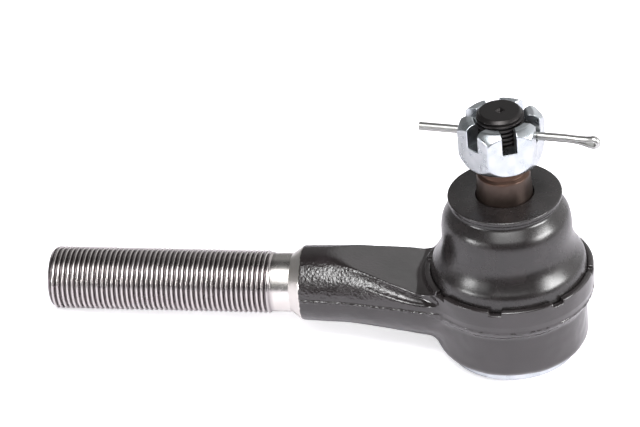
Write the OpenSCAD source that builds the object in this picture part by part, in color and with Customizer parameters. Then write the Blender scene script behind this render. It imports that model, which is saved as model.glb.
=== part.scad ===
// Straight male tie rod end with a tapered ball stud, in millimetres.
// The origin is the centre of the ball. The stud points along +Z and the threaded shank along -X.

/* [Shank] */
// Major diameter of the shank thread
shank_d = 17.46; // [16:0.01:19]
// Pitch of the shank thread, 18 threads to the inch
shank_pitch = 1.411; // [1.2:0.001:1.6]
// Distance from the ball centre to the end of the shank
shank_reach = 128.4; // [110:0.1:150]
// Length of the threaded stretch
thread_length = 63.1; // [40:0.1:65]
// Diameter of the smooth relief between the thread and the forging
relief_d = 16.4; // [15:0.1:17.2]
// Chamfer on the end of the shank
shank_chamfer = 1; // [0.5:0.1:1.5]

/* [Forging] */
// Radius of the arm where the machined shank leaves it
arm_r = 10.6; // [10.2:0.1:11.5]
// Radius of the arm where it runs into the socket
arm_root_r = 14.1; // [13:0.1:15]
// Slope of the flat on top of the arm, in degrees
web_slope = 14.5; // [10:0.5:18]
// Radius of the flange round the top of the socket
rim_r = 23; // [22.5:0.1:25]
// Height of the top of the flange
rim_top = 7.6; // [7.2:0.1:9]
// Radius of the socket body below the flange
socket_r = 20.8; // [20.2:0.1:21.8]
// Depth of the socket below the ball centre
socket_depth = 15.9; // [15.6:0.1:17]
// How far the parting flash stands out of the forging
flash_h = 0.4; // [0.2:0.1:0.6]
// Number of stake notches in the inner edge of the flange
notch_count = 8; // [4:1:12]
// Angle of the first stake notch, in degrees
notch_clock = -3.5; // [-22:0.5:22]
// Width of a stake notch
notch_w = 3.2; // [1.5:0.1:4]
// Depth of a stake notch
notch_depth = 1.1; // [0.8:0.1:2]

/* [Ball stud] */
// Radius of the ball
ball_r = 12; // [11.6:0.1:12]
// Radius of the waist between the ball and the taper
waist_r = 6.6; // [6:0.1:7]
// Radius of the small end of the taper
taper_small_r = 7.15; // [6.8:0.05:7.2]
// Diameter that the taper gains for each millimetre of length, 1.5 inches to the foot
taper_rate = 0.125; // [0.1:0.005:0.14]
// Major diameter of the stud thread, 1/2 inch
stud_thread_d = 12.7; // [12:0.1:12.8]
// Height of the top of the stud
stud_top = 56.8; // [56:0.1:60]

/* [Castle nut] */
// Width of the nut across its flats, 13/16 inch
nut_af = 20.6; // [19.5:0.1:22]
// Height of the underside of the nut
nut_seat = 42.2; // [41.5:0.1:43]
// Height of the nut itself
nut_h = 12.9; // [12.5:0.1:14]
// Depth of the slots
slot_depth = 6.0; // [5.5:0.1:6.2]
// Width of the slots
slot_w = 3.9; // [3.7:0.1:4.2]
// Angle of the slots from the X axis, in degrees
nut_clock = -10.5; // [-11:0.1:-4]

/* [Cotter pin] */
// Diameter of the closed pin
pin_d = 2.3; // [2:0.1:2.4]
// Length of the legs on the far side of the stud
pin_tail = 22.3; // [14:0.1:26]
// Distance from the stud axis to the start of the eye
pin_eye_start = 19.6; // [12:0.1:22]
// Angle of the pin from the X axis, in degrees
pin_yaw = -7.5; // [-8:0.1:-7]

/* [Dust boot] */
// Radius of the flat lip at the top of the boot
lip_r = 15.4; // [14:0.1:16]
// Height of the top of the lip
lip_top = 31.1; // [30.5:0.1:32]
// Thickness of the rubber
boot_wall = 1.9; // [1.5:0.1:2.2]
// Radius of the upper fold
upper_fold_r = 17.4; // [16.5:0.1:18]
// Radius of the lower fold
lower_fold_r = 20.9; // [20:0.1:21]

/* [Bearings and cap] */
// Wall of the bearing shells round the ball
bearing_wall = 2; // [1.6:0.1:2.4]
// Radius of the end cap
cap_r = 18; // [17:0.1:18.2]
// Height of the outer face of the end cap, below the ball centre
cap_bottom = 18.6; // [18:0.1:20]

/* [Hidden] */
$fn = 96;
cut = 200;                        // larger than anything that is cut away
fit_gap = 0.05;                   // running clearance between neighbouring pieces

// Distances along the shank, measured from the ball centre
thread_start = shank_reach - thread_length;
relief_end = 60.2;
shoulder_end = 57.3;
arm_root = 20;

// Outline of the arm, as distance from the ball centre and radius
arm_outline = [[arm_root, arm_root_r], [28, 12.8], [36, 11.6], [46, arm_r], [shoulder_end, arm_r - 0.3]];

// Socket levels and radii
bore_r = ball_r + bearing_wall + fit_gap;
deck_low = 5.4;                   // underside of the deck that holds the bearings in
mouth_low_r = 11.3;               // mouth that the stud swings in, at the underside of the deck
mouth_top_r = 12.4;
bead_out_r = 21.3;                // groove that holds the bead of the boot
bead_in_r = 18;
bead_floor = 5;
flange_low = -1.6;                // the flange blends into the socket body between these
flange_blend = -4.2;
parting = 0.3;                    // height of the parting line of the forging
flash_w = 0.8;
cap_seat = 15.5;                  // the end cap sits against this step

// Boot
bead_gap = 0.1;
bead_top = rim_top + 0.2;
lip_low = lip_top - 1.6;
lip_roof = lip_low - 1.1;         // ceiling of the room inside the boot
lip_hole_r = 7.75;

function thread_depth(pitch) = 0.6134 * pitch;

// Profile of a stretch of thread as rings: root, flank, crest and flank for every turn
function thread_rings(r, pitch, from, turns) = [
    for (i = [0 : turns - 1])
        for (step = [[0.06, 1], [0.44, 0], [0.56, 0], [0.94, 1]])
            [r - step[1] * thread_depth(pitch), from + (i + step[0]) * pitch]
];

// Turns a profile round the X axis, with its height measured along -X
module along_shank() {
    rotate([0, -90, 0]) rotate_extrude() children();
}

module shank_profile() {
    r = shank_d / 2;
    root = r - thread_depth(shank_pitch);
    turns = floor((thread_length - shank_chamfer) / shank_pitch);
    polygon(concat(
        [[0, arm_root], [arm_r - 0.3, shoulder_end]],
        [[relief_d / 2, relief_end], [relief_d / 2, thread_start]],
        thread_rings(r, shank_pitch, thread_start, turns),
        [[root, shank_reach], [0, shank_reach]]
    ));
}

module arm_profile() {
    side = [for (p = arm_outline) [p[1], p[0]]];
    polygon(concat([[0, 0], [arm_root_r, 0]], side, [[0, shoulder_end]]));
}

// Space above the sloping flat of the arm, which levels out before the flange
module above_web() {
    intersection() {
        translate([-50, -cut / 2, arm_r]) rotate([0, web_slope, 0]) translate([-cut / 2, 0, 0]) cube(cut);
        translate([-cut, -cut / 2, 5]) cube(cut);
    }
}

// Thin plate of flash that follows the arm at the parting line
module arm_flash() {
    side = [for (p = arm_outline) [-p[0], p[1] + flash_h]];
    back = [for (i = [len(arm_outline) - 1 : -1 : 0]) [side[i][0], -side[i][1]]];
    translate([0, 0, parting - flash_w / 2]) linear_extrude(height = flash_w) polygon(concat(side, back));
}

module socket_profile() {
    polygon([
        [0, -socket_depth], [19, -socket_depth],
        [socket_r - 0.6, -socket_depth + 1], [socket_r, -socket_depth + 3],
        [socket_r, flange_blend], [rim_r - 0.8, flange_low], [rim_r - 0.6, parting - flash_w / 2],
        [rim_r - 0.6 + flash_h, parting - flash_w / 2], [rim_r - 0.6 + flash_h, parting + flash_w / 2],
        [rim_r - 0.4, parting + flash_w / 2], [rim_r, 2.5], [rim_r, rim_top - 0.6], [rim_r - 0.6, rim_top],
        [0, rim_top]
    ]);
}

// Everything that is machined out of the socket
module socket_hollow() {
    translate([0, 0, -cap_seat]) cylinder(r = bore_r, h = cap_seat + deck_low);
    translate([0, 0, -socket_depth - 1]) cylinder(r = cap_r + fit_gap, h = socket_depth + 1 - cap_seat);
    translate([0, 0, deck_low - 0.01])
        cylinder(r1 = mouth_low_r, r2 = mouth_top_r, h = rim_top - deck_low + 0.02);
    translate([0, 0, bead_floor]) difference() {
        cylinder(r = bead_out_r, h = cut);
        translate([0, 0, -1]) cylinder(r = bead_in_r, h = rim_top - bead_floor + 1);
    }
}

module stake_notches() {
    notch_reach = 2.2;            // the notches run out through the side of the flange
    for (i = [0 : notch_count - 1])
        rotate([0, 0, notch_clock + i * 360 / notch_count])
            translate([bead_out_r - 1, -notch_w / 2, rim_top - notch_depth])
                cube([1 + notch_reach, notch_w, 2 * notch_depth]);
}

module forged_housing() {
    color("dimgray") difference() {
        union() {
            difference() {
                along_shank() arm_profile();
                above_web();
            }
            along_shank() shank_profile();
            arm_flash();
            rotate_extrude() socket_profile();
        }
        socket_hollow();
        stake_notches();
    }
}

module ball_stud() {
    thread_r = stud_thread_d / 2;
    taper_low = 22;
    taper_top = 37.6;
    neck_r = thread_r - 0.05;
    neck_top = nut_seat - 0.5;
    chamfer = 1;
    color("#4c403c") difference() {
        union() {
            sphere(r = ball_r);
            rotate_extrude() polygon([
                [0, 0], [waist_r, 0], [waist_r, 14],
                [taper_small_r + (taper_top - taper_low) * taper_rate / 2, taper_low],
                [taper_small_r, taper_top], [neck_r, taper_top + 0.6], [neck_r, neck_top],
                [thread_r, neck_top + 0.5], [thread_r, stud_top - chamfer], [thread_r - chamfer, stud_top],
                [0, stud_top]
            ]);
        }
        pin_line() cylinder(r = pin_d / 2 + 0.25, h = cut, center = true);
        translate([0, 0, -ball_r]) cylinder(r = 4, h = 1, center = true);
    }
}

// Line of the cotter pin, with the height of a child measured along the pin towards its eye
module pin_line() {
    pin_height = nut_seat + nut_h - slot_depth + pin_d / 2 + 0.15;
    translate([0, 0, pin_height]) rotate([0, 0, pin_yaw]) rotate([0, 90, 0]) children();
}

module castle_nut() {
    corner_r = nut_af / sqrt(3);
    low_r = nut_af / 2 - 0.1;
    color("silver") translate([0, 0, nut_seat]) rotate([0, 0, nut_clock]) difference() {
        intersection() {
            rotate([0, 0, 30]) cylinder(r = corner_r, h = nut_h, $fn = 6);
            rotate_extrude() polygon([
                [0, 0], [low_r, 0], [low_r + 0.7, 1], [corner_r - 0.4, 2.6], [corner_r, 4.4],
                [corner_r, nut_h - 3.6], [corner_r - 0.4, nut_h - 1.9], [corner_r - 1.3, nut_h - 0.6],
                [corner_r - 2.7, nut_h], [0, nut_h]
            ]);
        }
        translate([0, 0, -1]) cylinder(r = stud_thread_d / 2 + 0.1, h = nut_h + 2);
        translate([0, 0, -0.01]) cylinder(r1 = 7.2, r2 = 6.2, h = 1);
        translate([0, 0, nut_h - 0.99]) cylinder(r1 = 6.2, r2 = 7.2, h = 1);
        for (i = [0 : 2])
            rotate([0, 0, i * 60])
                translate([-cut / 2, -slot_w / 2, nut_h - slot_depth]) cube([cut, slot_w, cut]);
    }
}

// Outline of a slot with round ends, along X from the origin
module round_slot(length, width) {
    translate([width / 2, 0]) circle(d = width);
    translate([length - width / 2, 0]) circle(d = width);
    translate([width / 2, -width / 2]) square([length - width, width]);
}

module cotter_pin() {
    eye_length = 7.2;
    eye_height = 4;
    eye_width = 1.4;
    eye_drop = 0.6;               // the eye hangs a little below the line of the legs
    wire = 1;
    color("lightgray") {
        pin_line() translate([0, 0, -pin_tail]) cylinder(r = pin_d / 2, h = pin_tail + pin_eye_start + wire);
        pin_line() translate([eye_drop, eye_width / 2, pin_eye_start]) rotate([0, -90, 90])
            linear_extrude(height = eye_width) difference() {
                round_slot(eye_length, eye_height);
                translate([2 * wire, 0]) round_slot(eye_length - 3 * wire, eye_height - 2 * wire);
            }
    }
}

// Outer face of the boot as radius and height, from the flange up to the underside of the lip
function boot_outside() = [
    [lower_fold_r + 0.2, bead_top + 0.4], [lower_fold_r - 0.2, 10], [lower_fold_r - 1.2, 12.2],
    [upper_fold_r + 1.4, 14.3], [upper_fold_r + 0.6, 16.6], [upper_fold_r + 0.2, 18.8], [upper_fold_r, 20.8],
    [upper_fold_r - 0.3, 22.6], [upper_fold_r - 0.9, 24.4], [upper_fold_r - 1.8, 26.4], [upper_fold_r - 3, 28],
    [upper_fold_r - 3, lip_low]
];

function boot_inside() = [
    for (i = [len(boot_outside()) - 1 : -1 : 0])
        [boot_outside()[i][0] - boot_wall, min(boot_outside()[i][1], lip_roof)]
];

module dust_boot() {
    bead_r = bead_out_r - bead_gap;
    bead_low = bead_floor + fit_gap;
    color("#5b575a") difference() {
        rotate_extrude() polygon(concat(
            [[bead_in_r + bead_gap, bead_low], [bead_r, bead_low], [bead_r, bead_top]],
            boot_outside(),
            [[lip_r - 0.3, lip_low], [lip_r, lip_low + 0.4], [lip_r, lip_top - 0.3], [lip_r - 0.3, lip_top],
             [lip_hole_r, lip_top], [lip_hole_r + 0.3, lip_roof]],
            boot_inside(),
            [[bead_in_r + bead_gap, bead_top]]
        ));
        lip_insert(fit_gap);
        base_ring(fit_gap);
    }
}

// Steel washer moulded into the lip, grown by a gap to make its pocket
module lip_insert(gap) {
    translate([0, 0, lip_top - 1.9 - gap]) difference() {
        cylinder(r = 12.2 + gap, h = 1 + 2 * gap);
        translate([0, 0, -1]) cylinder(r = gap > 0 ? lip_hole_r - 1 : 8.3, h = 4);
    }
}

module boot_lip_insert() {
    color("gray") lip_insert(0);
}

// Steel ring inside the bead of the boot, grown by a gap to make its pocket
module base_ring(gap) {
    ring_h = 1.5;
    low = gap > 0 ? bead_floor - 1 : bead_floor;
    translate([0, 0, low]) difference() {
        cylinder(r = 20.5 + gap, h = bead_floor + ring_h + gap - low);
        translate([0, 0, -1]) cylinder(r = 19.3 - gap, h = 6);
    }
}

module boot_base_ring() {
    color("gray") base_ring(0);
}

// Space taken by the ball, with its running clearance
module ball_room() {
    sphere(r = ball_r + fit_gap);
}

module upper_bearing() {
    color("ivory") difference() {
        translate([0, 0, 0.2]) cylinder(r = bore_r - fit_gap, h = deck_low - 0.2 - fit_gap);
        ball_room();
    }
}

module lower_bearing() {
    color("ivory") difference() {
        translate([0, 0, -ball_r - 1.3]) cylinder(r = bore_r - fit_gap, h = ball_r + 1.1);
        ball_room();
        cylinder(r = 3, h = cut, center = true);
    }
}

module preload_spring() {
    low = -cap_seat + fit_gap;
    high = -ball_r - 1.3 - fit_gap;
    steel = 1.2;
    color("slategray") rotate_extrude() polygon([
        [12.5, low], [12.5, low + steel], [5.5, high], [5.5, high - steel]
    ]);
}

module end_cap() {
    edge = 0.6;
    color("gainsboro") rotate_extrude() polygon([
        [0, -cap_seat], [cap_r, -cap_seat], [cap_r, -cap_bottom + edge], [cap_r - 0.2, -cap_bottom + 0.2],
        [cap_r - edge, -cap_bottom], [0, -cap_bottom]
    ]);
}

forged_housing();
ball_stud();
castle_nut();
cotter_pin();
dust_boot();
boot_base_ring();
boot_lip_insert();
upper_bearing();
lower_bearing();
preload_spring();
end_cap();
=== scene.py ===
# %% [markdown]
# # A tie rod end, piece by piece
# The part is a steering joint: a forged socket on a threaded shank, with a ball stud that swings in it.
# The engineering model comes ready in model.glb, so this notebook only gives it its looks. Every piece
# is made in the same frame: the ball's centre is the origin, the stud points up and the shank along -X.
# Lengths are written in millimetres, as on a workshop drawing, and one factor turns them to metres.

# %% Load the imported model
import math

import bmesh
import bpy
import numpy as np
from mathutils import Matrix, Vector


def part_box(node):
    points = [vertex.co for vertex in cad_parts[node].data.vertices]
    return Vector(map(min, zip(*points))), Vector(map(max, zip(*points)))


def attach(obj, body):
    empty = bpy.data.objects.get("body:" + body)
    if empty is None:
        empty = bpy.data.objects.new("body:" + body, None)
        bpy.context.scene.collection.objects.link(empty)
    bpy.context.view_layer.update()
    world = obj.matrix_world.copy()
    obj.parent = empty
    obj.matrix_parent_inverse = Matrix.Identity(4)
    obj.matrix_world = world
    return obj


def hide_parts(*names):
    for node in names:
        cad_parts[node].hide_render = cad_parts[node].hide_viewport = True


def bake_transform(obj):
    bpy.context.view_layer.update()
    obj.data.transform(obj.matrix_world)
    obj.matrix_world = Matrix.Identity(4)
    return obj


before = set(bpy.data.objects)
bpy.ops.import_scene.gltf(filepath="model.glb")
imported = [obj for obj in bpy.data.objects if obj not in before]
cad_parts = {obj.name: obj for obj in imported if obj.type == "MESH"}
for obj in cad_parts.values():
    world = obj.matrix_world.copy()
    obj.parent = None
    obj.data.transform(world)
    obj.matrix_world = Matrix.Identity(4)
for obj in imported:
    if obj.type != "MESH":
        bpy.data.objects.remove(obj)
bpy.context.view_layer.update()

MM = 0.001


def box_mm(node):
    """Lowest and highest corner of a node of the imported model, in millimetres."""
    low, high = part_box(node)
    return np.array(low) / MM, np.array(high) / MM


print("nodes:", sorted(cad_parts))

# %% [markdown]
# ## Sizes from the model
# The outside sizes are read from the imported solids, so the looks can't drift away from the engineering.
# Sizes that a box can't tell, such as the width of a slot, are named where they are first used.

# %% Read the outside sizes
housing_low, housing_high = box_mm("forged_housing")
stud_low, stud_high = box_mm("ball_stud")
nut_low, nut_high = box_mm("castle_nut")
pin_low, pin_high = box_mm("cotter_pin")
cap_low, cap_high = box_mm("end_cap")

shank_end = -housing_low[0]
socket_floor = housing_low[2]
rim_r = housing_high[0]
ball_r = -stud_low[2]
stud_top = stud_high[2]
lip_top = box_mm("dust_boot")[1][2]
nut_seat, nut_top = nut_low[2], nut_high[2]
cap_r = cap_high[0]
print(f"shank reaches {shank_end:.1f} mm, rim radius {rim_r:.1f} mm, ball radius {ball_r:.2f} mm")

# %% [markdown]
# ## Colours and shader nodes
# Colours are picked as sRGB hex values, as a painter or a web page gives them, and the shader wants
# linear light, so one function converts them. A second one adds a shader node with its settings and
# its links, which keeps each material short enough to read at a glance.

# %% Colour and node helpers
def linear(hex_colour):
    """An sRGB hex colour as linear red, green, blue and alpha."""
    channels = [int(hex_colour[i:i + 2], 16) / 255 for i in (1, 3, 5)]
    return [c / 12.92 if c <= 0.04045 else ((c + 0.055) / 1.055) ** 2.4 for c in channels] + [1.0]


def add(material, kind, settings=None, **links):
    """Adds a shader node. Settings are its properties or sockets; links feed sockets, _0 being the first."""
    tree = material.node_tree
    node = tree.nodes.new("ShaderNode" + kind)
    for name, value in (settings or {}).items():
        if isinstance(name, str) and hasattr(node, name):
            setattr(node, name, value)
        else:
            node.inputs[name].default_value = value
    for name, source in links.items():
        tree.links.new(source, node.inputs[int(name[1:]) if name[1:].isdigit() else name.replace("_", " ")])
    return node


def new_material(name):
    """A material with only an output node, and its coordinates in millimetres."""
    material = bpy.data.materials.new(name)
    material.use_nodes = True
    material.node_tree.nodes.clear()
    place = add(material, "TexCoord").outputs["Object"]
    place_mm = add(material, "VectorMath", {"operation": "SCALE", "Scale": 1 / MM}, Vector=place)
    return material, place_mm.outputs["Vector"]


def stops(node, *pairs):
    """Sets the stops of a colour ramp from (position, hex colour) pairs."""
    ramp = node.color_ramp
    while len(ramp.elements) < len(pairs):
        ramp.elements.new(0.5)
    for element, (position, colour) in zip(ramp.elements, pairs):
        element.position = position
        element.color = linear(colour)


def output(material, shader):
    """Links a shader to the material's surface."""
    add(material, "OutputMaterial", Surface=shader.outputs["BSDF"])
    return material


# %% [markdown]
# ## Turning pieces on a lathe
# The boot and the cap are round, so each is an outline that is spun about an axis. A real tool leaves
# no corner quite sharp, and a corner with a small radius catches a line of light, so the outline is
# given as corners with a radius each, and the function rounds them with true arcs.

# %% Outline and lathe helpers
def round_corners(corners, arc_steps=6, closed=False):
    """Turns (r, z, radius) corners into an outline with an arc at each corner that has a radius."""
    outline = []
    count = len(corners)
    for i, (r, z, radius) in enumerate(corners):
        here = np.array([r, z])
        if radius == 0 or (not closed and i in (0, count - 1)):
            outline.append(here)
            continue
        before = np.array(corners[i - 1][:2]) - here
        after = np.array(corners[(i + 1) % count][:2]) - here
        before_length, after_length = np.linalg.norm(before), np.linalg.norm(after)
        before, after = before / before_length, after / after_length
        half_angle = math.acos(np.clip(before @ after, -1, 1)) / 2
        reach = min(radius / math.tan(half_angle), 0.48 * before_length, 0.48 * after_length)
        radius = reach * math.tan(half_angle)
        middle_way = (before + after) / np.linalg.norm(before + after)
        centre = here + middle_way * math.hypot(reach, radius)
        start, end = here + before * reach - centre, here + after * reach - centre
        turn = math.atan2(start[0] * end[1] - start[1] * end[0], start @ end)
        steps = max(2, round(abs(turn) / (math.pi / 2) * arc_steps) + 1)
        for k in range(steps + 1):
            a = turn * k / steps
            outline.append(centre + [start[0] * math.cos(a) - start[1] * math.sin(a),
                                     start[0] * math.sin(a) + start[1] * math.cos(a)])
    return np.array(outline)


def grid_faces(rows, columns, wrap_rows=False, wrap_columns=True):
    """Quads of a grid of points, whose rows and columns may each run round and join up."""
    row = np.arange(rows if wrap_rows else rows - 1)[:, None]
    column = np.arange(columns if wrap_columns else columns - 1)[None, :]
    next_row, next_column = (row + 1) % rows, (column + 1) % columns
    corners = [row * columns + column, row * columns + next_column,
               next_row * columns + next_column, next_row * columns + column]
    return np.stack(corners, -1).reshape(-1, 4)


def mesh_piece(name, points_mm, faces, material, normals=None):
    """A mesh object from points in millimetres, cleaned of doubled points and shaded smooth."""
    mesh = bpy.data.meshes.new(name)
    faces = faces.tolist() if isinstance(faces, np.ndarray) else faces
    mesh.from_pydata((np.asarray(points_mm) * MM).tolist(), [], faces)
    mesh.validate()
    if normals is None:
        work = bmesh.new()
        work.from_mesh(mesh)
        bmesh.ops.remove_doubles(work, verts=work.verts, dist=0.002 * MM)
        bmesh.ops.dissolve_degenerate(work, edges=work.edges, dist=0.002 * MM)
        bmesh.ops.recalc_face_normals(work, faces=work.faces)
        work.to_mesh(mesh)
        work.free()
    mesh.shade_smooth()
    if normals is not None:
        mesh.normals_split_custom_set_from_vertices(normals.tolist())
    mesh.materials.append(material)
    piece = bpy.data.objects.new(name, mesh)
    bpy.context.scene.collection.objects.link(piece)
    print(f"{name}: {len(mesh.polygons)} faces")
    return piece


def lathe(name, outline, material, segments=144, closed=True):
    """Spins an outline of (r, z) points about the Z axis."""
    angle = np.linspace(0, 2 * math.pi, segments, endpoint=False)
    r, z = outline[:, 0][:, None], outline[:, 1][:, None]
    points = np.stack([r * np.cos(angle), r * np.sin(angle), z + 0 * angle], -1).reshape(-1, 3)
    return mesh_piece(name, points, grid_faces(len(outline), segments, closed), material)


def crisp(piece, degrees=35):
    """Keeps edges sharper than this angle crisp, as on a machined piece."""
    piece.data.set_sharp_from_angle(angle=math.radians(degrees))
    return piece


# %% [markdown]
# ## Skinning a distance field
# A forging has blended edges everywhere, which are slow to model face by face. It can be described
# instead by how far any point in space lies from its skin: negative inside, zero on it. Two such
# fields join with a soft minimum, which leaves a fillet, and one cuts another with a soft maximum,
# which leaves a rounded edge. The function below samples the field on a grid, puts one point in each
# cell that the skin passes through, joins them with quads, and then slides every point exactly onto
# the skin. The slope of the field there is the true surface direction, so the shading is clean too.

# %% Soft joins and the skinning function
def soft_min(a, b, radius):
    """The union of two fields, with a fillet of about this radius."""
    share = np.clip(0.5 + 0.5 * (b - a) / radius, 0, 1)
    return b + (a - b) * share - radius * share * (1 - share)


def soft_max(a, b, radius):
    """The part that two fields share, with edges rounded to about this radius."""
    return -soft_min(-a, -b, radius)


def slope(field, points, reach=0.01):
    """How a field changes along X, Y and Z at some points."""
    ways = np.eye(3) * reach
    return np.stack([field(points + w) - field(points - w) for w in ways], -1) / (2 * reach)


def skin(name, field, low, high, step, material, finish=None, slides=5):
    """Wraps the zero surface of a field in quads. A finish adds relief too fine for the grid."""
    axes = [np.arange(a, b + step, step) for a, b in zip(low, high)]
    value = np.concatenate([
        field(np.stack(np.meshgrid(part, axes[1], axes[2], indexing="ij"), -1))
        for part in np.array_split(axes[0], 8)])
    inside = value < 0
    cells = tuple(n - 1 for n in value.shape)
    total, hits = np.zeros(cells + (3,)), np.zeros(cells)
    quads = []
    for axis in range(3):
        a, b = [tuple(slice(s, value.shape[i] - 1 + s) if i == axis else slice(None) for i in range(3))
                for s in (0, 1)]
        crossed = inside[a] != inside[b]
        with np.errstate(divide="ignore", invalid="ignore"):
            share = np.where(crossed, value[a] / (value[a] - value[b]), 0)
        where = np.argwhere(crossed)
        point = where.astype(float)
        point[:, axis] += share[crossed]
        u, v = [i for i in range(3) if i != axis]
        for du in (0, 1):
            for dv in (0, 1):
                cell = where.copy()
                cell[:, u] -= du
                cell[:, v] -= dv
                fits = ((cell >= 0) & (cell < cells)).all(1)
                np.add.at(total, tuple(cell[fits].T), point[fits])
                np.add.at(hits, tuple(cell[fits].T), 1)
        middle = (where[:, u] > 0) & (where[:, u] < cells[u]) & (where[:, v] > 0) & (where[:, v] < cells[v])
        ring = []
        for du, dv in ((1, 1), (0, 1), (0, 0), (1, 0)):
            cell = where[middle].copy()
            cell[:, u] -= du
            cell[:, v] -= dv
            ring.append(cell)
        ring = np.stack(ring, 1)
        flip = inside[a][crossed][middle] ^ (axis == 1)
        ring[~flip] = ring[~flip][:, ::-1]
        quads.append(ring)
    active = hits > 0
    number = np.full(cells, -1)
    number[active] = np.arange(active.sum())
    points = total[active] / hits[active][:, None] * step + np.array([a[0] for a in axes])
    quads = np.concatenate(quads)
    faces = number[quads[..., 0], quads[..., 1], quads[..., 2]]
    exact = finish or field
    for _ in range(slides):
        way = slope(exact, points)
        length2 = np.maximum((way ** 2).sum(1), 0.05)
        move = -(exact(points) / length2)[:, None] * way
        far = np.linalg.norm(move, axis=1, keepdims=True)
        points = points + move * np.minimum(1, 0.5 * step / np.maximum(far, 1e-9))
    way = slope(exact, points)
    normals = way / np.maximum(np.linalg.norm(way, axis=1, keepdims=True), 1e-9)
    return mesh_piece(name, points, faces, material, normals)


def lumps(points, size, seed):
    """Smooth random lumps between -1 and 1, about this size, the same on every run."""
    table = np.random.default_rng(seed).uniform(-1, 1, 4096)
    place = points / size
    base = np.floor(place).astype(int)
    part = place - base
    part = part * part * (3 - 2 * part)
    out = 0
    for corner in np.ndindex(2, 2, 2):
        key = (base + corner) @ np.array([73, 179, 283]) & 4095
        weight = np.where(np.array(corner) == 1, part, 1 - part).prod(-1)
        out = out + table[key] * weight
    return out


# %% [markdown]
# ## The camera
# The part stands on its end cap and on the end of its shank, because the socket is deeper than the
# shank is thick. So the whole part leans by a few degrees, and a level camera sees it rolled. The part
# has to stay upright in its own frame, so the camera rolls and the floor leans instead. A long lens
# from far away keeps the perspective gentle, as in a catalogue picture.

# %% Place the camera
view_azimuth = math.radians(12.3)
view_elevation = math.radians(33.4)
view_roll = math.radians(-5.8)
view_distance = 819.0
view_lens = 168.7
aim = np.array([-51.5, 3.0, 21.0])

back = Vector((math.sin(view_azimuth) * math.cos(view_elevation),
               -math.cos(view_azimuth) * math.cos(view_elevation), math.sin(view_elevation)))
level = Vector((math.cos(view_azimuth), math.sin(view_azimuth), 0))
above = back.cross(level)
right = level * math.cos(view_roll) + above * math.sin(view_roll)
up = back.cross(right)
camera_data = bpy.data.cameras.new("camera")
camera_data.lens = view_lens
camera = bpy.data.objects.new("camera", camera_data)
camera.matrix_world = Matrix.Translation((Vector(aim) + back * view_distance) * MM) @ Matrix(
    (right, up, back)).transposed().to_4x4()
bpy.context.scene.collection.objects.link(camera)
bpy.context.scene.camera = camera
print("camera at", [round(c, 3) for c in camera.location])

# %% [markdown]
# ## Forged steel under black paint
# The arm and socket are one hot forging, shot blasted and dipped in black gloss paint. The paint
# follows the scale and pits of the forging, so a highlight breaks into sparkling grains. They are
# drawn 0.7 to 0.8 mm across, coarser than real ones, which would hardly show at this size. Paint is a
# dielectric, so metallic is 0. An alkyd resin has an index of refraction near 1.5, raised here to 1.6
# for a wetter gloss. At the shank the paint stops in a ragged line, and bare turned steel shows.

# %% Material: black gloss paint over forged scale
paint_edge, paint_ragged = -57.1, 1.4


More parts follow.
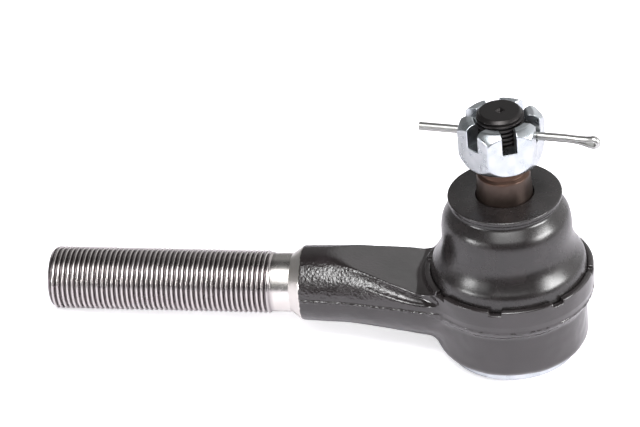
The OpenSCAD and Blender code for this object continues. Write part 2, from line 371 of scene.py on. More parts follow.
def forged_paint():
    """Black alkyd gloss on shot blasted forging scale: dark, with a wet, broken highlight along the arm."""
    material, place = new_material("black_gloss_paint_on_forging")
    part = add(material, "SeparateXYZ", Vector=place)
    grain = add(material, "TexNoise", {"Scale": 1 / 0.7, "Detail": 3.0, "Roughness": 0.55}, Vector=place)
    pits = add(material, "TexVoronoi", {"Scale": 1 / 0.8, "Randomness": 1.0}, Vector=place)
    waves = add(material, "TexNoise", {"Scale": 1 / 7.0, "Detail": 2.0}, Vector=place)
    toward_arm = add(material, "MapRange", {
        "From Min": -22.0, "From Max": -34.0, "To Min": 0.03, "To Max": 1.0}, Value=part.outputs["X"])
    above_flash = add(material, "MapRange", {"From Min": 0.0, "From Max": 3.0, "To Min": 0.25, "To Max": 1.0},
                      Value=part.outputs["Z"])
    facing = add(material, "SeparateXYZ", Vector=add(material, "NewGeometry").outputs["Normal"])
    off_web = add(material, "MapRange", {"From Min": 0.9, "From Max": 0.98, "To Min": 1.0, "To Max": 0.3},
                  Value=facing.outputs["Z"])
    rough_here = add(material, "Math", {"operation": "MULTIPLY"}, _0=toward_arm.outputs["Result"],
                     _1=above_flash.outputs["Result"])
    rough_here = add(material, "Math", {"operation": "MULTIPLY"}, _0=rough_here.outputs["Value"],
                     _1=off_web.outputs["Result"])
    height = add(material, "Math", {"operation": "MULTIPLY_ADD", 1: 0.4}, _0=pits.outputs["Distance"],
                 _2=grain.outputs["Fac"])
    scaled = add(material, "Math", {"operation": "MULTIPLY"}, _0=height.outputs["Value"],
                 _1=rough_here.outputs["Value"])
    bump = add(material, "Bump", {"Strength": 0.7, "Distance": 0.22 * MM}, Height=scaled.outputs["Value"])
    colour = add(material, "ValToRGB", Fac=waves.outputs["Fac"])
    stops(colour, (0.3, "#1c1919"), (0.7, "#272324"))
    sheen = add(material, "MapRange", {"To Min": 0.1, "To Max": 0.26}, Value=grain.outputs["Fac"])
    paint = add(material, "BsdfPrincipled", {"IOR": 1.6}, Base_Color=colour.outputs["Color"],
                Roughness=sheen.outputs["Result"], Normal=bump.outputs["Normal"])
    steel = add(material, "BsdfPrincipled", {
        "Base Color": linear("#c8c4c0"), "Metallic": 1.0, "Roughness": 0.32})
    ragged = add(material, "TexNoise", {"Scale": 1 / 1.4, "Detail": 4.0, "Roughness": 0.7}, Vector=place)
    edge = add(material, "Math", {"operation": "MULTIPLY_ADD", 1: paint_ragged}, _0=ragged.outputs["Fac"],
               _2=part.outputs["X"])
    middle = paint_edge + paint_ragged / 2
    painted = add(material, "MapRange", {"From Min": middle - 0.05, "From Max": middle + 0.05},
                  Value=edge.outputs["Value"])
    mix = add(material, "MixShader", _0=painted.outputs["Result"], _1=steel.outputs["BSDF"],
              _2=paint.outputs["BSDF"])
    add(material, "OutputMaterial", Surface=mix.outputs["Shader"])
    return material


black_paint = forged_paint()

# %% [markdown]
# ## The forging
# The arm starts round where the shank is machined and swells towards the socket. A flat web slopes
# across its top, with a scallop under each edge where the die pinched the steel. The two halves of the
# die met at mid height, and the steel squeezed out between them was trimmed to a thin ragged ridge,
# the flash line, which runs along the arm and round the socket. All of it is one distance field.

# %% Shape of the arm
shoulder_r, shoulder_start = 8.2, 60.2
arm_thin_r, arm_gain, swell_from, swell_over = 10.6, 3.7, 46, 28
web_floor, web_top, web_from, web_slope = 4.9, 10.3, 47, 0.24
scallop_at = [52, 44, 38, 30, 24, 16]
scallop_y = [17.3, 12.8, 11.1, 12.4, 13.5, 14.9]
scallop_z = [20.1, 14.2, 9.8, 5.6, 4.7, 4.4]
scallop_r = [15.6, 9.0, 4.0, 2.6, 2.2, 2.0]


def station(reach, values):
    """Smooth values along the arm, worked out from the stations."""
    shifts = range(-6, 7, 2)
    return sum(np.interp(reach + d, scallop_at[::-1], values[::-1]) for d in shifts) / len(shifts)


def arm_radius(reach):
    """Radius of the arm at a distance from the ball centre."""
    swell = np.clip((swell_from - reach) / swell_over, 0, 1.6)
    return arm_thin_r + arm_gain * swell ** 1.15 - 0.25 * np.clip((reach - 50) / 8, 0, 1)


def flash_height(reach):
    """Height of the parting line, which climbs a little towards the shank."""
    return 0.2 + 0.02 * np.maximum(reach - 22, 0)


def arm_field(points):
    """Distance from the skin of the arm."""
    reach, y, z = -points[..., 0], np.abs(points[..., 1]), points[..., 2]
    radius = np.hypot(y, z)
    body = radius - arm_radius(reach)
    web = np.maximum(web_floor, web_top - web_slope * (web_from - reach))
    body = soft_max(body, (z - web) * 0.97, 0.7)
    aside, over = y - station(reach, scallop_y), z - station(reach, scallop_z)
    body = soft_max(body, station(reach, scallop_r) - np.hypot(aside, over), 0.5)
    ridge = 0.42 + 0.2 * np.sin(1.7 * reach) * np.sin(0.6 * reach + 1) + 0.1 * np.sin(4.1 * reach)
    flash = soft_max(radius - arm_radius(reach) - ridge, np.abs(z - flash_height(reach)) - 0.3, 0.3)
    body = soft_min(body, flash, 0.35)
    cone = shoulder_r + (shoulder_start - reach) * 0.7
    body = soft_max(body, 4 - reach, 0.1)
    return soft_max(soft_max(body, (radius - cone) * 0.8, 0.3), reach - shoulder_start - 0.3, 0.1)


# %% Shape of the socket
rim_top = 7.6
body_r, floor_edge = 20.8, 2.4
bore_r, deck_low = 14.05, 5.4
mouth_r = 11.8
groove_out, groove_in, groove_floor = 21.3, 18.0, 5.0
cap_seat = -15.5
notch_count, notch_clock = 8, math.radians(-3.5)
notch_w, notch_reach, notch_depth = 3.2, 2.2, 1.1


def socket_field(points):
    """Distance from the outer skin of the socket."""
    x, y, z = points[..., 0], points[..., 1], points[..., 2]
    radius = np.hypot(x, y)
    flange_r = rim_r - 0.55 * np.clip((2.6 - z) / 3, 0, 1)
    flange = soft_max(soft_max(radius - flange_r, z - rim_top, 0.5), -1.3 - z, 1.6)
    out, down = radius - (body_r - floor_edge), socket_floor + floor_edge - z
    corner = np.hypot(np.maximum(out, 0), np.maximum(down, 0))
    body = corner + np.minimum(np.maximum(out, down), 0) - floor_edge
    whole = soft_min(flange, soft_max(body, z - 4, 0.5), 2.2)
    around = np.arctan2(y, x)
    ridge = 0.35 + 0.12 * np.sin(23 * around) * np.sin(7 * around + 1) + 0.06 * np.sin(61 * around)
    flash = soft_max(radius - (rim_r - 0.5) - ridge, np.abs(z - 0.3) - 0.28, 0.3)
    return soft_min(whole, flash, 0.35)


def hollow_field(points):
    """Distance from the surfaces that are machined into the socket, positive in the steel."""
    x, y, z = points[..., 0], points[..., 1], points[..., 2]
    radius = np.hypot(x, y)
    bore = np.maximum(radius - bore_r, z - deck_low)
    mouth = radius - mouth_r
    recess = np.maximum(radius - cap_r - 0.05, z - cap_seat)
    groove = np.maximum(np.maximum(radius - groove_out, groove_in - radius), groove_floor - z)
    turn = (np.arctan2(y, x) - notch_clock) * notch_count / (2 * math.pi)
    turn = (turn - np.round(turn)) * 2 * math.pi / notch_count
    notch = np.maximum(np.abs(radius * np.sin(turn)) - notch_w / 2, rim_top - notch_depth - z)
    notch = np.maximum(notch, radius * np.cos(turn) - groove_out - notch_reach)
    notch = np.maximum(notch, groove_out - 1 - radius)
    return np.minimum(np.minimum(np.minimum(bore, mouth), np.minimum(recess, groove)), notch)


def forging_field(points):
    """Distance from the skin of the whole forging."""
    outside = soft_min(arm_field(points), socket_field(points), 3.0)
    return soft_max(outside, -hollow_field(points), 0.3)


def forging_relief(points):
    """The forging with the dents and ripples that hammering and scale leave in it."""
    dents = 0.1 * lumps(points, 5.0, 3) + 0.05 * lumps(points, 2.1, 4)
    smooth = np.clip((np.abs(points[..., 2] - 0.5) - 0.8) / 2, 0.35, 1)
    machined = np.clip((rim_top - 0.4 - points[..., 2]) / 1.5, 0, 1)
    return forging_field(points) - dents * smooth * machined


forging = skin("forged_arm_and_socket", forging_field, (-62, -24.6, -17), (24.6, 24.6, 11.8), 0.4,
               black_paint, finish=forging_relief)
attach(forging, "housing")
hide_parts("forged_housing")

# %% [markdown]
# ## Turned and rolled steel
# The shank is bare steel. Its thread is rolled between dies, and oil and grime stay in it, so it is
# darker than the clean turned neck behind it. Its roots are darker still: that is painted shade, where
# the grooves shade themselves, with a little grime. A metal keeps the default index of refraction, and
# its colour is in the base colour. The turned neck carries fine feed marks, drawn here at 0.35 mm,
# coarser than the real 0.1 mm, because those would vanish at this size.

# %% Material: bright steel
def bright_steel():
    """Rolled and turned carbon steel, lightly oiled: bright crests over roots darkened by painted shade and a
    little grime.
    """
    material, place = new_material("bright_rolled_steel")
    across = add(material, "VectorMath", {"operation": "MULTIPLY", 1: (0, 1, 1)}, Vector=place)
    from_axis = add(material, "VectorMath", {"operation": "LENGTH"}, Vector=across.outputs["Vector"])
    depth = add(material, "MapRange", {"From Min": 7.95, "From Max": 8.6}, Value=from_axis.outputs["Value"])
    along = add(material, "VectorMath", {"operation": "MULTIPLY", 1: (1 / 0.35, 0.03, 0.03)}, Vector=place)
    feed = add(material, "TexNoise", {"Scale": 1.0, "Detail": 2.0}, Vector=along.outputs["Vector"])
    stain = add(material, "TexNoise", {"Scale": 1 / 6.0, "Detail": 1.0}, Vector=place)
    threaded = add(material, "SeparateXYZ", Vector=place)
    on_thread = add(material, "MapRange", {"From Min": -64.5, "From Max": -66.0}, Value=threaded.outputs["X"])
    bright = add(material, "ValToRGB", Fac=stain.outputs["Fac"])
    stops(bright, (0.3, "#c6c2be"), (0.7, "#dad7d4"))
    # Painted shade: the colour darkens towards the thread's roots, where the grooves shade themselves, with a
    # little grime as well.
    painted_root_shade = add(material, "ValToRGB", Fac=depth.outputs["Result"])
    stops(painted_root_shade, (0.0, "#787273"), (0.5, "#938d8e"), (1.0, "#bcb7b6"))
    colour = add(material, "Mix", {"data_type": "RGBA"}, _0=on_thread.outputs["Result"],
                 _6=bright.outputs["Color"], _7=painted_root_shade.outputs["Color"])
    rough = add(material, "MapRange", {"To Min": 0.24, "To Max": 0.3}, Value=stain.outputs["Fac"])
    on_neck = add(material, "Math", {"operation": "MULTIPLY_ADD", 1: -0.15, 2: 0.15},
                  _0=on_thread.outputs["Result"])
    bump = add(material, "Bump", {"Distance": 0.02 * MM}, Height=feed.outputs["Fac"],
               Strength=on_neck.outputs["Value"])
    return output(material, add(material, "BsdfPrincipled", {"Metallic": 1.0}, Base_Color=colour.outputs[2],
                                Roughness=rough.outputs["Result"], Normal=bump.outputs["Normal"]))


steel = bright_steel()

# %% [markdown]
# ## The threaded shank
# A thread is a real helix here, not a stack of rings. Its radius falls from crest to root by a share of
# the pitch, and that share also turns with the angle round the axis, which is all that makes a ring
# into a helix. The rows of the mesh wind with it, so a row stays on its crest, flank or root all the
# way. The crest is about a quarter of the pitch wide, twice the standard's eighth, so that it reads as
# a bright line at this size. Crest and root are rounded, as rolling leaves them, and the thread fades
# out over one turn at its end.

# %% Shape of the thread
shank_pitch = 25.4 / 18
shank_major = 8.73
thread_from = 65.4
thread_share = 0.6134
crest_share, root_share = 0.13, 0.46


def thread_fall(share):
    """How deep the thread is at a share of its pitch: 0 on the crest, 1 at the root, rounded at both."""
    ramp = np.clip((np.abs((share % 1) - 0.5) - crest_share) / (root_share - crest_share), 0, 1)
    return ramp - 0.08 * np.sin(2 * math.pi * ramp)


def shank_radius(reach, climb):
    """Radius of the shank at a distance from the ball centre and a number of turns along the helix."""
    fade = np.clip((reach - thread_from) / shank_pitch, 0, 1)
    fall = thread_share * shank_pitch * thread_fall(climb) * fade
    bar = shoulder_r + (shank_major - shoulder_r) * fade - fall
    return soft_min(bar, shank_major - (reach - shank_end + 1.2) * 0.8, 0.1)


# %% Build the shank
def wind_shank(segments=96):
    """Points of the shank, row by row along the helix, with the rings of its end face after them."""
    half_turn = [0.0, 0.02, 0.06, 0.12, 0.19, 0.26, 0.32, 0.36, 0.39]
    shares = np.array(half_turn + [0.5] + [1 - s for s in half_turn[:0:-1]])
    first, last = math.floor((shoulder_start - 2) / shank_pitch) - 1, math.ceil(shank_end / shank_pitch) + 1
    climb = (np.arange(first, last)[:, None] + shares).reshape(-1, 1)
    angle = np.linspace(-math.pi, math.pi, segments + 1)
    reach = np.clip((climb + angle / (2 * math.pi)) * shank_pitch, shoulder_start - 2, shank_end)
    radius = shank_radius(reach, reach / shank_pitch - angle / (2 * math.pi))
    for ring_r, depth in ((2.35, 0.0), (2.15, 0.12), (0.0, 2.2)):
        reach = np.vstack([reach, np.full_like(angle, shank_end - depth)])
        radius = np.vstack([radius, np.full_like(angle, ring_r)])
    points = np.stack([-reach, radius * np.cos(angle), radius * np.sin(angle)], -1)
    return points.reshape(-1, 3), grid_faces(len(reach), segments + 1, wrap_columns=False)


shank = crisp(mesh_piece("threaded_shank", *wind_shank(), steel), 50)
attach(shank, "housing")
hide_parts("forged_housing")

# %% [markdown]
# ## Moulded rubber
# The dust boot is moulded from black neoprene, with a polish that it takes from the mould. Rubber is a
# dielectric with an index of about 1.5. A faint film of bloom and dust makes it a little lighter and
# less shiny in patches, and that is what keeps a black glossy thing from looking like glass.

# %% Material: moulded neoprene
def boot_rubber():
    """Moulded neoprene: black with a soft polish and a faint grey bloom."""
    material, place = new_material("moulded_neoprene")
    bloom = add(material, "TexNoise", {"Scale": 1 / 5.0, "Detail": 4.0, "Roughness": 0.6}, Vector=place)
    skin_grain = add(material, "TexNoise", {"Scale": 1 / 0.5, "Detail": 2.0}, Vector=place)
    colour = add(material, "ValToRGB", Fac=bloom.outputs["Fac"])
    stops(colour, (0.3, "#171515"), (0.72, "#211e1e"))
    rough = add(material, "MapRange", {"To Min": 0.2, "To Max": 0.34}, Value=bloom.outputs["Fac"])
    bump = add(material, "Bump", {"Strength": 0.06, "Distance": 0.03 * MM}, Height=skin_grain.outputs["Fac"])
    return output(material, add(material, "BsdfPrincipled", {"IOR": 1.52}, Base_Color=colour.outputs["Color"],
                                Roughness=rough.outputs["Result"], Normal=bump.outputs["Normal"]))


rubber = boot_rubber()

# %% [markdown]
# ## The dust boot
# The boot keeps grease in and dirt out. Its bead sits in a groove of the socket, two soft folds let it
# follow the stud, and a flat lip hugs the stud's taper. It is one closed outline, outside and inside,
# spun about the stud.

# %% [markdown]
# The folds have no corners at all. Cutting every corner of a coarse outline, and then the corners that
# this makes, soon gives a smooth curve that bends a little everywhere, so a highlight on it has no
# hard edge.

# %% Build the boot
def soften(points, rounds=3):
    """Cuts the corners of an outline, which keeps its ends and turns the rest into a smooth curve."""
    for _ in range(rounds):
        points = np.array(points)
        first, second = points[:-1] * 0.75 + points[1:] * 0.25, points[:-1] * 0.25 + points[1:] * 0.75
        points = np.vstack([points[:1], np.stack([first, second], 1).reshape(-1, 2)[1:-1], points[-1:]])
    return [(r, z, 0) for r, z in points]


lip_r = 15.4
lip_hole_r = 7.75
outer_folds = [(21.2, 8.0), (20.9, 10.4), (19.6, 12.4), (18.4, 14.8), (17.8, 17.2), (17.7, 20.0),
               (17.6, 22.6), (17.0, 25.0), (15.6, 26.9), (14.3, 28.4)]
inner_folds = [(12.4, 27.4), (14.6, 25.0), (15.3, 21.5), (15.8, 18.0), (16.6, 14.4), (17.8, 11.4),
               (18.15, 8.6)]
boot_corners = [
    (18.15, 5.1, 0.2), (21.15, 5.1, 0.2), *soften(outer_folds), (14.5, 29.4, 0.4),
    (lip_r - 0.25, 29.6, 0.35), (lip_r, 30.2, 0.3), (lip_r, lip_top, 0.4), (lip_hole_r, lip_top, 0.3),
    (lip_hole_r + 0.25, 28.4, 0.3), *soften(inner_folds),
]
boot = lathe("rubber_dust_boot", round_corners(boot_corners, arc_steps=9, closed=True), rubber, segments=180)
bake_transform(boot)
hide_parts("dust_boot")

# %% [markdown]
# ## Phosphated steel
# The stud is hardened steel with a manganese phosphate coating, which is brown-black, finely crystalline
# and slightly oily. Where the taper was ground last and at the thread's run-out the coating is thin, and
# a coppery tone shows. It is still metal underneath, so it is metallic with a fairly low roughness.
# The crystals are drawn at 0.25 mm, far coarser than real ones, which would vanish at this size.

# %% Material: manganese phosphate
def phosphated_steel():
    """Oiled manganese phosphate on ground steel: brown-black, with coppery thin spots."""
    material, place = new_material("phosphated_steel")
    height = add(material, "SeparateXYZ", Vector=place)
    patch = add(material, "TexNoise", {"Scale": 1 / 2.2, "Detail": 4.0}, Vector=place)
    band = add(material, "Math", {"operation": "MULTIPLY_ADD", 1: 1.2}, _0=patch.outputs["Fac"],
               _2=height.outputs["Z"])
    zone = add(material, "MapRange", {"From Min": 20.0, "From Max": 60.0}, Value=band.outputs["Value"])
    colour = add(material, "ValToRGB", Fac=zone.outputs["Result"])
    stops(colour, (0.0, "#332b28"), (0.3, "#3f3530"), (0.44, "#4b403b"),
          (0.46, "#4e3b32"), (0.56, "#433229"),
          (0.575, "#262424"), (1.0, "#2d2b2b"))
    crystals = add(material, "TexNoise", {"Scale": 1 / 0.25, "Detail": 2.0}, Vector=place)
    rough = add(material, "MapRange", {"To Min": 0.26, "To Max": 0.46}, Value=patch.outputs["Fac"])
    bump = add(material, "Bump", {"Strength": 0.15, "Distance": 0.02 * MM}, Height=crystals.outputs["Fac"])
    return output(material, add(material, "BsdfPrincipled", {"Metallic": 0.85},
                                Base_Color=colour.outputs["Color"], Roughness=rough.outputs["Result"],
                                Normal=bump.outputs["Normal"]))


phosphate = phosphated_steel()

# %% [markdown]
# ## The ball stud
# The ball, its waist, the taper that wedges into the steering arm and the thread are one turned piece,
# cross drilled for the pin. As a distance field it is a radius that depends on height, and the thread
# is a term that also depends on the angle, so it winds round as a helix.

# %% Build the stud
stud_pitch = 25.4 / 20
stud_thread_r = 6.35
taper_small_r, taper_low, taper_high = 7.15, 22.0, 37.6
waist_r, neck_r = 6.6, 6.3
pin_yaw = math.radians(-7.5)
pin_r = 1.15
pin_height = (pin_low[2] + pin_high[2]) / 2
hole_r = 1.4


def stud_radius(z):
    """Radius of the stud above the ball, without its thread."""
    return np.interp(z, [0, 14, taper_low, taper_high, taper_high + 0.8, 41.7, 42.2, 70],
                     [waist_r, waist_r, taper_small_r + (taper_high - taper_low) / 16, taper_small_r,
                      neck_r, neck_r, stud_thread_r, stud_thread_r])


def stud_field(points):
    """Distance from the skin of the stud."""
    x, y, z = points[..., 0], points[..., 1], points[..., 2]
    radius = np.hypot(x, y)
    climb = z / stud_pitch - np.arctan2(y, x) / (2 * math.pi)
    threaded = np.clip((z - 42.4) / 0.8, 0, 1)
    fall = thread_share * stud_pitch * thread_fall(climb) * threaded
    shaft = (radius - stud_radius(z) + fall) * 0.75
    shaft = soft_max(shaft, -z, 0.2)
    shaft = soft_max(shaft, (radius + z - (stud_thread_r + stud_top - 1.0)) * 0.7, 0.2)
    shaft = soft_max(shaft, z - stud_top, 0.15)
    ball = np.sqrt(x * x + y * y + z * z) - ball_r
    whole = soft_min(ball, shaft, 0.8)
    across = -x * math.sin(pin_yaw) + y * math.cos(pin_yaw)
    hole = hole_r - np.hypot(across, z - pin_height)
    mark = 1.3 - (np.abs(x) + np.abs(y)) - (stud_top - z) * 1.2
    return soft_max(soft_max(whole, hole, 0.25), mark, 0.1)


stud = skin("tapered_ball_stud", stud_field, (-12.6, -12.6, -12.6), (12.6, 12.6, stud_top + 0.6), 0.25,
            phosphate)
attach(stud, "stud")
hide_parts("ball_stud")

# %% [markdown]
# ## Bright zinc plate
# The nut and the pin are plated with zinc and passivated clear, which gives a bluish white metal that
# is bright but not a mirror. Barrel plating lets the pieces knock together, so the surface has faint
# dents. The pin's soft wire comes out duller than the nut, so it has a finish of its own.

# %% Material: zinc plate
def zinc_plate(name, dull, bright, polish):
    """Clear passivated zinc: bright metal with faint cloudy patches."""
    material, place = new_material(name)
    cloud = add(material, "TexNoise", {"Scale": 1 / 3.0, "Detail": 1.0}, Vector=place)
    knocks = add(material, "TexNoise", {"Scale": 1 / 2.5, "Detail": 1.0}, Vector=place)
    colour = add(material, "ValToRGB", Fac=cloud.outputs["Fac"])
    stops(colour, (0.3, dull), (0.7, bright))
    rough = add(material, "MapRange", {"To Min": polish, "To Max": polish + 0.06}, Value=cloud.outputs["Fac"])
    bump = add(material, "Bump", {"Strength": 0.04, "Distance": 0.03 * MM}, Height=knocks.outputs["Fac"])
    return output(material, add(material, "BsdfPrincipled", {"Metallic": 1.0},
                                Base_Color=colour.outputs["Color"], Roughness=rough.outputs["Result"],
                                Normal=bump.outputs["Normal"]))


zinc = zinc_plate("bright_zinc_plate", "#aab0b4", "#bcc0c4", 0.25)
wire_zinc = zinc_plate("dull_zinc_on_wire", "#a4a4a2", "#b0b0ae", 0.3)

# %% [markdown]
# ## The castle nut
# The nut is a hexagon turned down to a barrel at both ends, which is what draws the arcs on its flats.
# Six slots are sawn into its top, so that the pin can lock it every sixty degrees. The hexagon, the
# barrel, the bore and the slots are each a simple field, and soft maxima between them round the edges
# as plating and tumbling do.

# %% Build the nut
nut_half = 10.3
nut_corner = nut_half * 2 / math.sqrt(3)
nut_h = nut_top - nut_seat
nut_clock = math.radians(-10.5)
slot_w, slot_depth = 3.9, 6.0
nut_bore_r = 6.45


def nut_field(points):
    """Distance from the skin of the nut."""
    x = points[..., 0] * math.cos(nut_clock) + points[..., 1] * math.sin(nut_clock)
    y = -points[..., 0] * math.sin(nut_clock) + points[..., 1] * math.cos(nut_clock)
    z = points[..., 2] - nut_seat
    radius = np.hypot(x, y)
    ways = [(math.cos(a), math.sin(a)) for a in np.radians([0, 60, 120])]
    flats = [np.abs(x * c + y * s) - nut_half for c, s in ways]
    hexagon = soft_max(soft_max(flats[0], flats[1], 0.25), flats[2], 0.25)
    low, high = np.clip(1 - z / 4.6, 0, 1.2), np.clip((z - (nut_h - 3.7)) / 3.7, 0, 1.2)
    barrel = (radius - nut_corner + 1.75 * low ** 2 + 2.7 * high ** 2.2) * 0.85
    solid = soft_max(soft_max(hexagon, barrel, 0.2), np.abs(z - nut_h / 2) - nut_h / 2, 0.3)
    bore = nut_bore_r + 0.8 * np.clip(1 - z, 0, 1) + 0.9 * np.clip(z - nut_h + 0.9, 0, 1) - radius
    solid = soft_max(solid, bore, 0.2)
    for c, s in ways:
        slot = np.minimum(slot_w / 2 - np.abs(-x * s + y * c), z - (nut_h - slot_depth))
        solid = soft_max(solid, slot, 0.25)
    return solid


nut = skin("slotted_castle_nut", nut_field, (-12.6, -12.6, nut_seat - 0.5), (12.6, 12.6, nut_top + 0.5),
           0.17, zinc)
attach(nut, "nut")
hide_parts("castle_nut")

# %% [markdown]
# ## The cotter pin
# A cotter pin is one length of half-round wire, folded in two so that the flats meet and the legs make
# a round pin, with an eye at the fold. So it is made the same way: a half-round section is swept along
# a path that runs out along one leg, round the eye and back along the other.

# %% Build the pin
pin_way = np.array([math.cos(pin_yaw), math.sin(pin_yaw), 0])
pin_side = np.array([-math.sin(pin_yaw), math.cos(pin_yaw), 0])
pin_tail, eye_start = 22.3, 19.6
eye_length, eye_hole_r, eye_drop = 7.2, 0.8, 0.6
wire, leg_gap = 1.05, 0.06


def pin_path():
    """Points of the flat side of the wire, as distance along the pin and height."""
    leg = [(u, leg_gap) for u in np.linspace(-pin_tail, eye_start - 0.6, 40)]
    centre = eye_start + eye_length - wire - eye_hole_r
    turns = np.radians(np.arange(110, -111, -10))
    loop = [(centre + eye_hole_r * math.cos(a), eye_hole_r * math.sin(a)) for a in turns]
    share = np.linspace(0, 1, 10)[1:-1]
    neck = [(leg[-1][0] + (loop[0][0] - leg[-1][0]) * t, leg_gap + (loop[0][1] - leg_gap) * t * t)
            for t in share]
    outbound = leg + neck
    return np.array(outbound + loop + [(u, -w) for u, w in outbound[::-1]])


def cotter(section_steps=12):
    """Points and faces of the half-round wire, swept along its path."""
    path = pin_path()
    along = np.gradient(path, axis=0)
    along /= np.linalg.norm(along, axis=1, keepdims=True)
    outward = np.stack([-along[:, 1], along[:, 0]], -1)
    turns = np.linspace(0, math.pi, section_steps)
    section = [(math.cos(a) * (pin_r - 0.04), math.sin(a) * (pin_r - 0.1)) for a in turns]
    points = []
    for (u, w), (out_u, out_w) in zip(path, outward):
        for side, out in section:
            along_pin, height = u + out_u * out, w + out_w * out
            height -= eye_drop * np.clip((along_pin - eye_start + 3) / 7, 0, 1) ** 2
            points.append(pin_way * along_pin + pin_side * side + np.array([0, 0, pin_height + height]))
    faces = grid_faces(len(path), section_steps).tolist()
    count = len(points)
    faces.append(list(range(section_steps)))
    faces.append(list(range(count - section_steps, count))[::-1])
    return points, faces


pin_points, pin_faces = cotter()
pin = crisp(mesh_piece("split_cotter_pin", pin_points, pin_faces, wire_zinc), 40)
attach(pin, "cotter")
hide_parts("cotter_pin")

# %% [markdown]
# ## The end cap
# The cap closes the bottom of the socket and holds the spring down. It is a pressed disc, zinc plated,
# with a soft edge that shows as a bright sliver under the socket.

# %% Build the end cap
cap_corners = [
    (0, cap_seat, 0), (cap_r, cap_seat, 0.1), (cap_r, cap_low[2] + 0.05, 0.7), (14.6, cap_low[2], 0.8),
    (14.0, cap_low[2] + 0.35, 0.5), (0, cap_low[2] + 0.35, 0),
]
cap = crisp(lathe("pressed_end_cap", round_corners(cap_corners), zinc, closed=False), 40)
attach(cap, "housing")
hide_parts("end_cap")

# %% [markdown]
# ## The pieces inside
# The bearing shells, the spring and the two rings of the boot can't be seen until the joint is cut
# open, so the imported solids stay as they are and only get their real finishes: natural acetal for the
# shells, oiled spring steel for the spring and plain pressed steel for the rings.

# %% Materials of the inner pieces
def acetal():
    """Natural acetal: milky white plastic, a little waxy, smeared with grease."""
    material, place = new_material("natural_acetal")
    smear = add(material, "TexNoise", {"Scale": 1 / 4.0, "Detail": 3.0}, Vector=place)
    colour = add(material, "ValToRGB", Fac=smear.outputs["Fac"])
    stops(colour, (0.35, "#e6e1d4"), (0.7, "#cfc4a4"))
    rough = add(material, "MapRange", {"To Min": 0.25, "To Max": 0.5}, Value=smear.outputs["Fac"])
    return output(material, add(material, "BsdfPrincipled", {"IOR": 1.48}, Base_Color=colour.outputs["Color"],
                                Roughness=rough.outputs["Result"]))


def pressed_steel(name, dark, light, streak_mm):
    """Rolled strip steel, pressed: grey with faint rolling streaks."""
    material, place = new_material(name)
    stretched = add(material, "VectorMath", {"operation": "MULTIPLY", 1: (1 / streak_mm, 0.1, 0.1)},
                    Vector=place)
    streak = add(material, "TexNoise", {"Scale": 1.0, "Detail": 3.0}, Vector=stretched.outputs["Vector"])
    colour = add(material, "ValToRGB", Fac=streak.outputs["Fac"])
    stops(colour, (0.3, dark), (0.7, light))
    rough = add(material, "MapRange", {"To Min": 0.28, "To Max": 0.45}, Value=streak.outputs["Fac"])
    return output(material, add(material, "BsdfPrincipled", {"Metallic": 1.0},
                                Base_Color=colour.outputs["Color"], Roughness=rough.outputs["Result"]))


shell_plastic = acetal()
spring_steel = pressed_steel("oiled_spring_steel", "#5a5c60", "#74767a", 0.4)
ring_steel = pressed_steel("plain_pressed_steel", "#9a9a98", "#b8b7b4", 0.6)
inner_finish = {
    "upper_bearing": shell_plastic, "lower_bearing": shell_plastic, "preload_spring": spring_steel,
    "boot_base_ring": ring_steel, "boot_lip_insert": ring_steel,
}
for node_name, finish in inner_finish.items():
    node_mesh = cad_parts[node_name].data
    node_mesh.materials.clear()
    node_mesh.materials.append(finish)
print("inner pieces:", ", ".join(inner_finish))

# %% [markdown]
# ## Floor and light
# The floor is a pale sheet that leans to touch the cap and the end of the shank, which is how the part
# really lies. Polished things show what is round them more than what they are, so the light is built
# as a small studio: a large soft box overhead, others at each side, a room that is bright behind to
# the right and dim behind to the left, and darkness behind the camera, which draws the dark bands
# along the steel. Only the camera sees the floor lifted and the background white; reflections don't.

# %% Floor
lean = math.atan2(-cap_low[2] - shank_major, shank_end - cap_r)
floor_normal = Vector((math.sin(lean), 0, math.cos(lean)))
floor_gap = 0.05
touch = Vector((-cap_r, 0, cap_low[2])) - floor_normal * floor_gap
floor_r = 420.0
floor_lift = 0.55


def pale_paper():
    """Matt white studio paper, with the faintest unevenness."""
    material, place = new_material("matt_white_paper")
    fibre = add(material, "TexNoise", {"Scale": 1 / 40.0, "Detail": 3.0}, Vector=place)
    colour = add(material, "ValToRGB", Fac=fibre.outputs["Fac"])
    stops(colour, (0.3, "#f2eff5"), (0.7, "#f6f3f9"))
    light_path = add(material, "LightPath")
    lift = add(material, "Math", {"operation": "MULTIPLY", 1: floor_lift},
               _0=light_path.outputs["Is Camera Ray"])
    return output(material, add(material, "BsdfPrincipled", {
        "Roughness": 0.9, "Specular IOR Level": 0.2, "Emission Color": linear("#ffffff")},
        Base_Color=colour.outputs["Color"], Emission_Strength=lift.outputs["Value"]))


bpy.ops.mesh.primitive_circle_add(vertices=96, radius=floor_r * MM, fill_type="NGON")
floor = bpy.context.object
floor.name = "studio_floor"
floor.data.materials.append(pale_paper())
floor.rotation_mode = "QUATERNION"
floor.rotation_quaternion = floor_normal.to_track_quat("Z", "Y")
floor.location = touch * MM
print("the floor leans", round(math.degrees(lean), 2), "degrees")

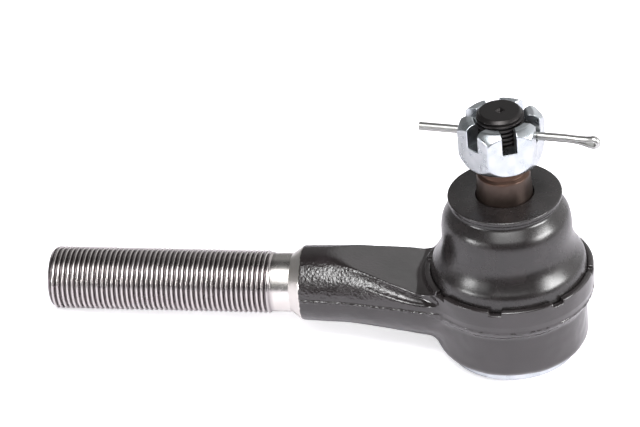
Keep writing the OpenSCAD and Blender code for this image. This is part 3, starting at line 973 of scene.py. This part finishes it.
# %% Soft boxes
def soft_box(name, azimuth, elevation, distance, width, height, power, target=(-40, 0, 15)):
    """A rectangular light at a direction from the part, in degrees: azimuth 0 is the side of the camera."""
    a, e = math.radians(azimuth) + view_azimuth, math.radians(elevation)
    way = Vector((math.sin(a) * math.cos(e), -math.cos(a) * math.cos(e), math.sin(e)))
    data = bpy.data.lights.new(name, "AREA")
    data.shape = "RECTANGLE"
    data.size, data.size_y = width * MM, height * MM
    data.energy = power
    light = bpy.data.objects.new(name, data)
    light.location = (Vector(target) + way * distance) * MM
    light.rotation_mode = "QUATERNION"
    light.rotation_quaternion = way.to_track_quat("Z", "Y")
    bpy.context.scene.collection.objects.link(light)
    return light


soft_box("key_box", 0, 57, 700, 620, 700, 4.3)
soft_box("key_core", -4, 62, 690, 260, 230, 3.4)
soft_box("right_box", 63, 20, 650, 330, 190, 5.2, target=(0, 0, 20))
soft_box("left_box", -66, 12, 650, 200, 100, 1.4, target=(0, 0, 20))
soft_box("left_fill", -46, 16, 650, 180, 150, 0.22, target=(0, 0, 20))

# %% Bright room behind, darkness in front
def studio_world():
    """A room bright behind to the right, dim behind to the left, dark in front; the camera sees white."""
    world = bpy.data.worlds.new("studio")
    world.use_nodes = True
    world.node_tree.nodes.clear()
    way = add(world, "TexCoord").outputs["Generated"]
    parts = add(world, "SeparateXYZ", Vector=way)
    behind = add(world, "MapRange", {"From Min": -0.4, "From Max": 0.1, "To Min": 0.03, "To Max": 1.15},
                 Value=parts.outputs["Y"])
    low_only = add(world, "MapRange", {"From Min": 0.72, "From Max": 0.88, "To Min": 1.0, "To Max": 0.05},
                   Value=parts.outputs["Z"])
    panel = add(world, "MapRange", {"From Min": -0.15, "From Max": 0.04, "To Min": 0.22, "To Max": 1.0},
                Value=parts.outputs["X"])
    bright = add(world, "Math", {"operation": "MULTIPLY"}, _0=behind.outputs["Result"],
                 _1=low_only.outputs["Result"])
    bright = add(world, "Math", {"operation": "MULTIPLY"}, _0=bright.outputs["Value"],
                 _1=panel.outputs["Result"])
    light_path = add(world, "LightPath")
    seen = add(world, "Mix", {"data_type": "FLOAT", "B": 1.0}, Factor=light_path.outputs["Is Camera Ray"],
               A=bright.outputs["Value"])
    room = add(world, "Background", {"Color": linear("#ffffff")}, Strength=seen.outputs["Result"])
    add(world, "OutputWorld", Surface=room.outputs["Background"])
    return world


bpy.context.scene.world = studio_world()
bpy.context.scene.view_settings.view_transform = "Standard"
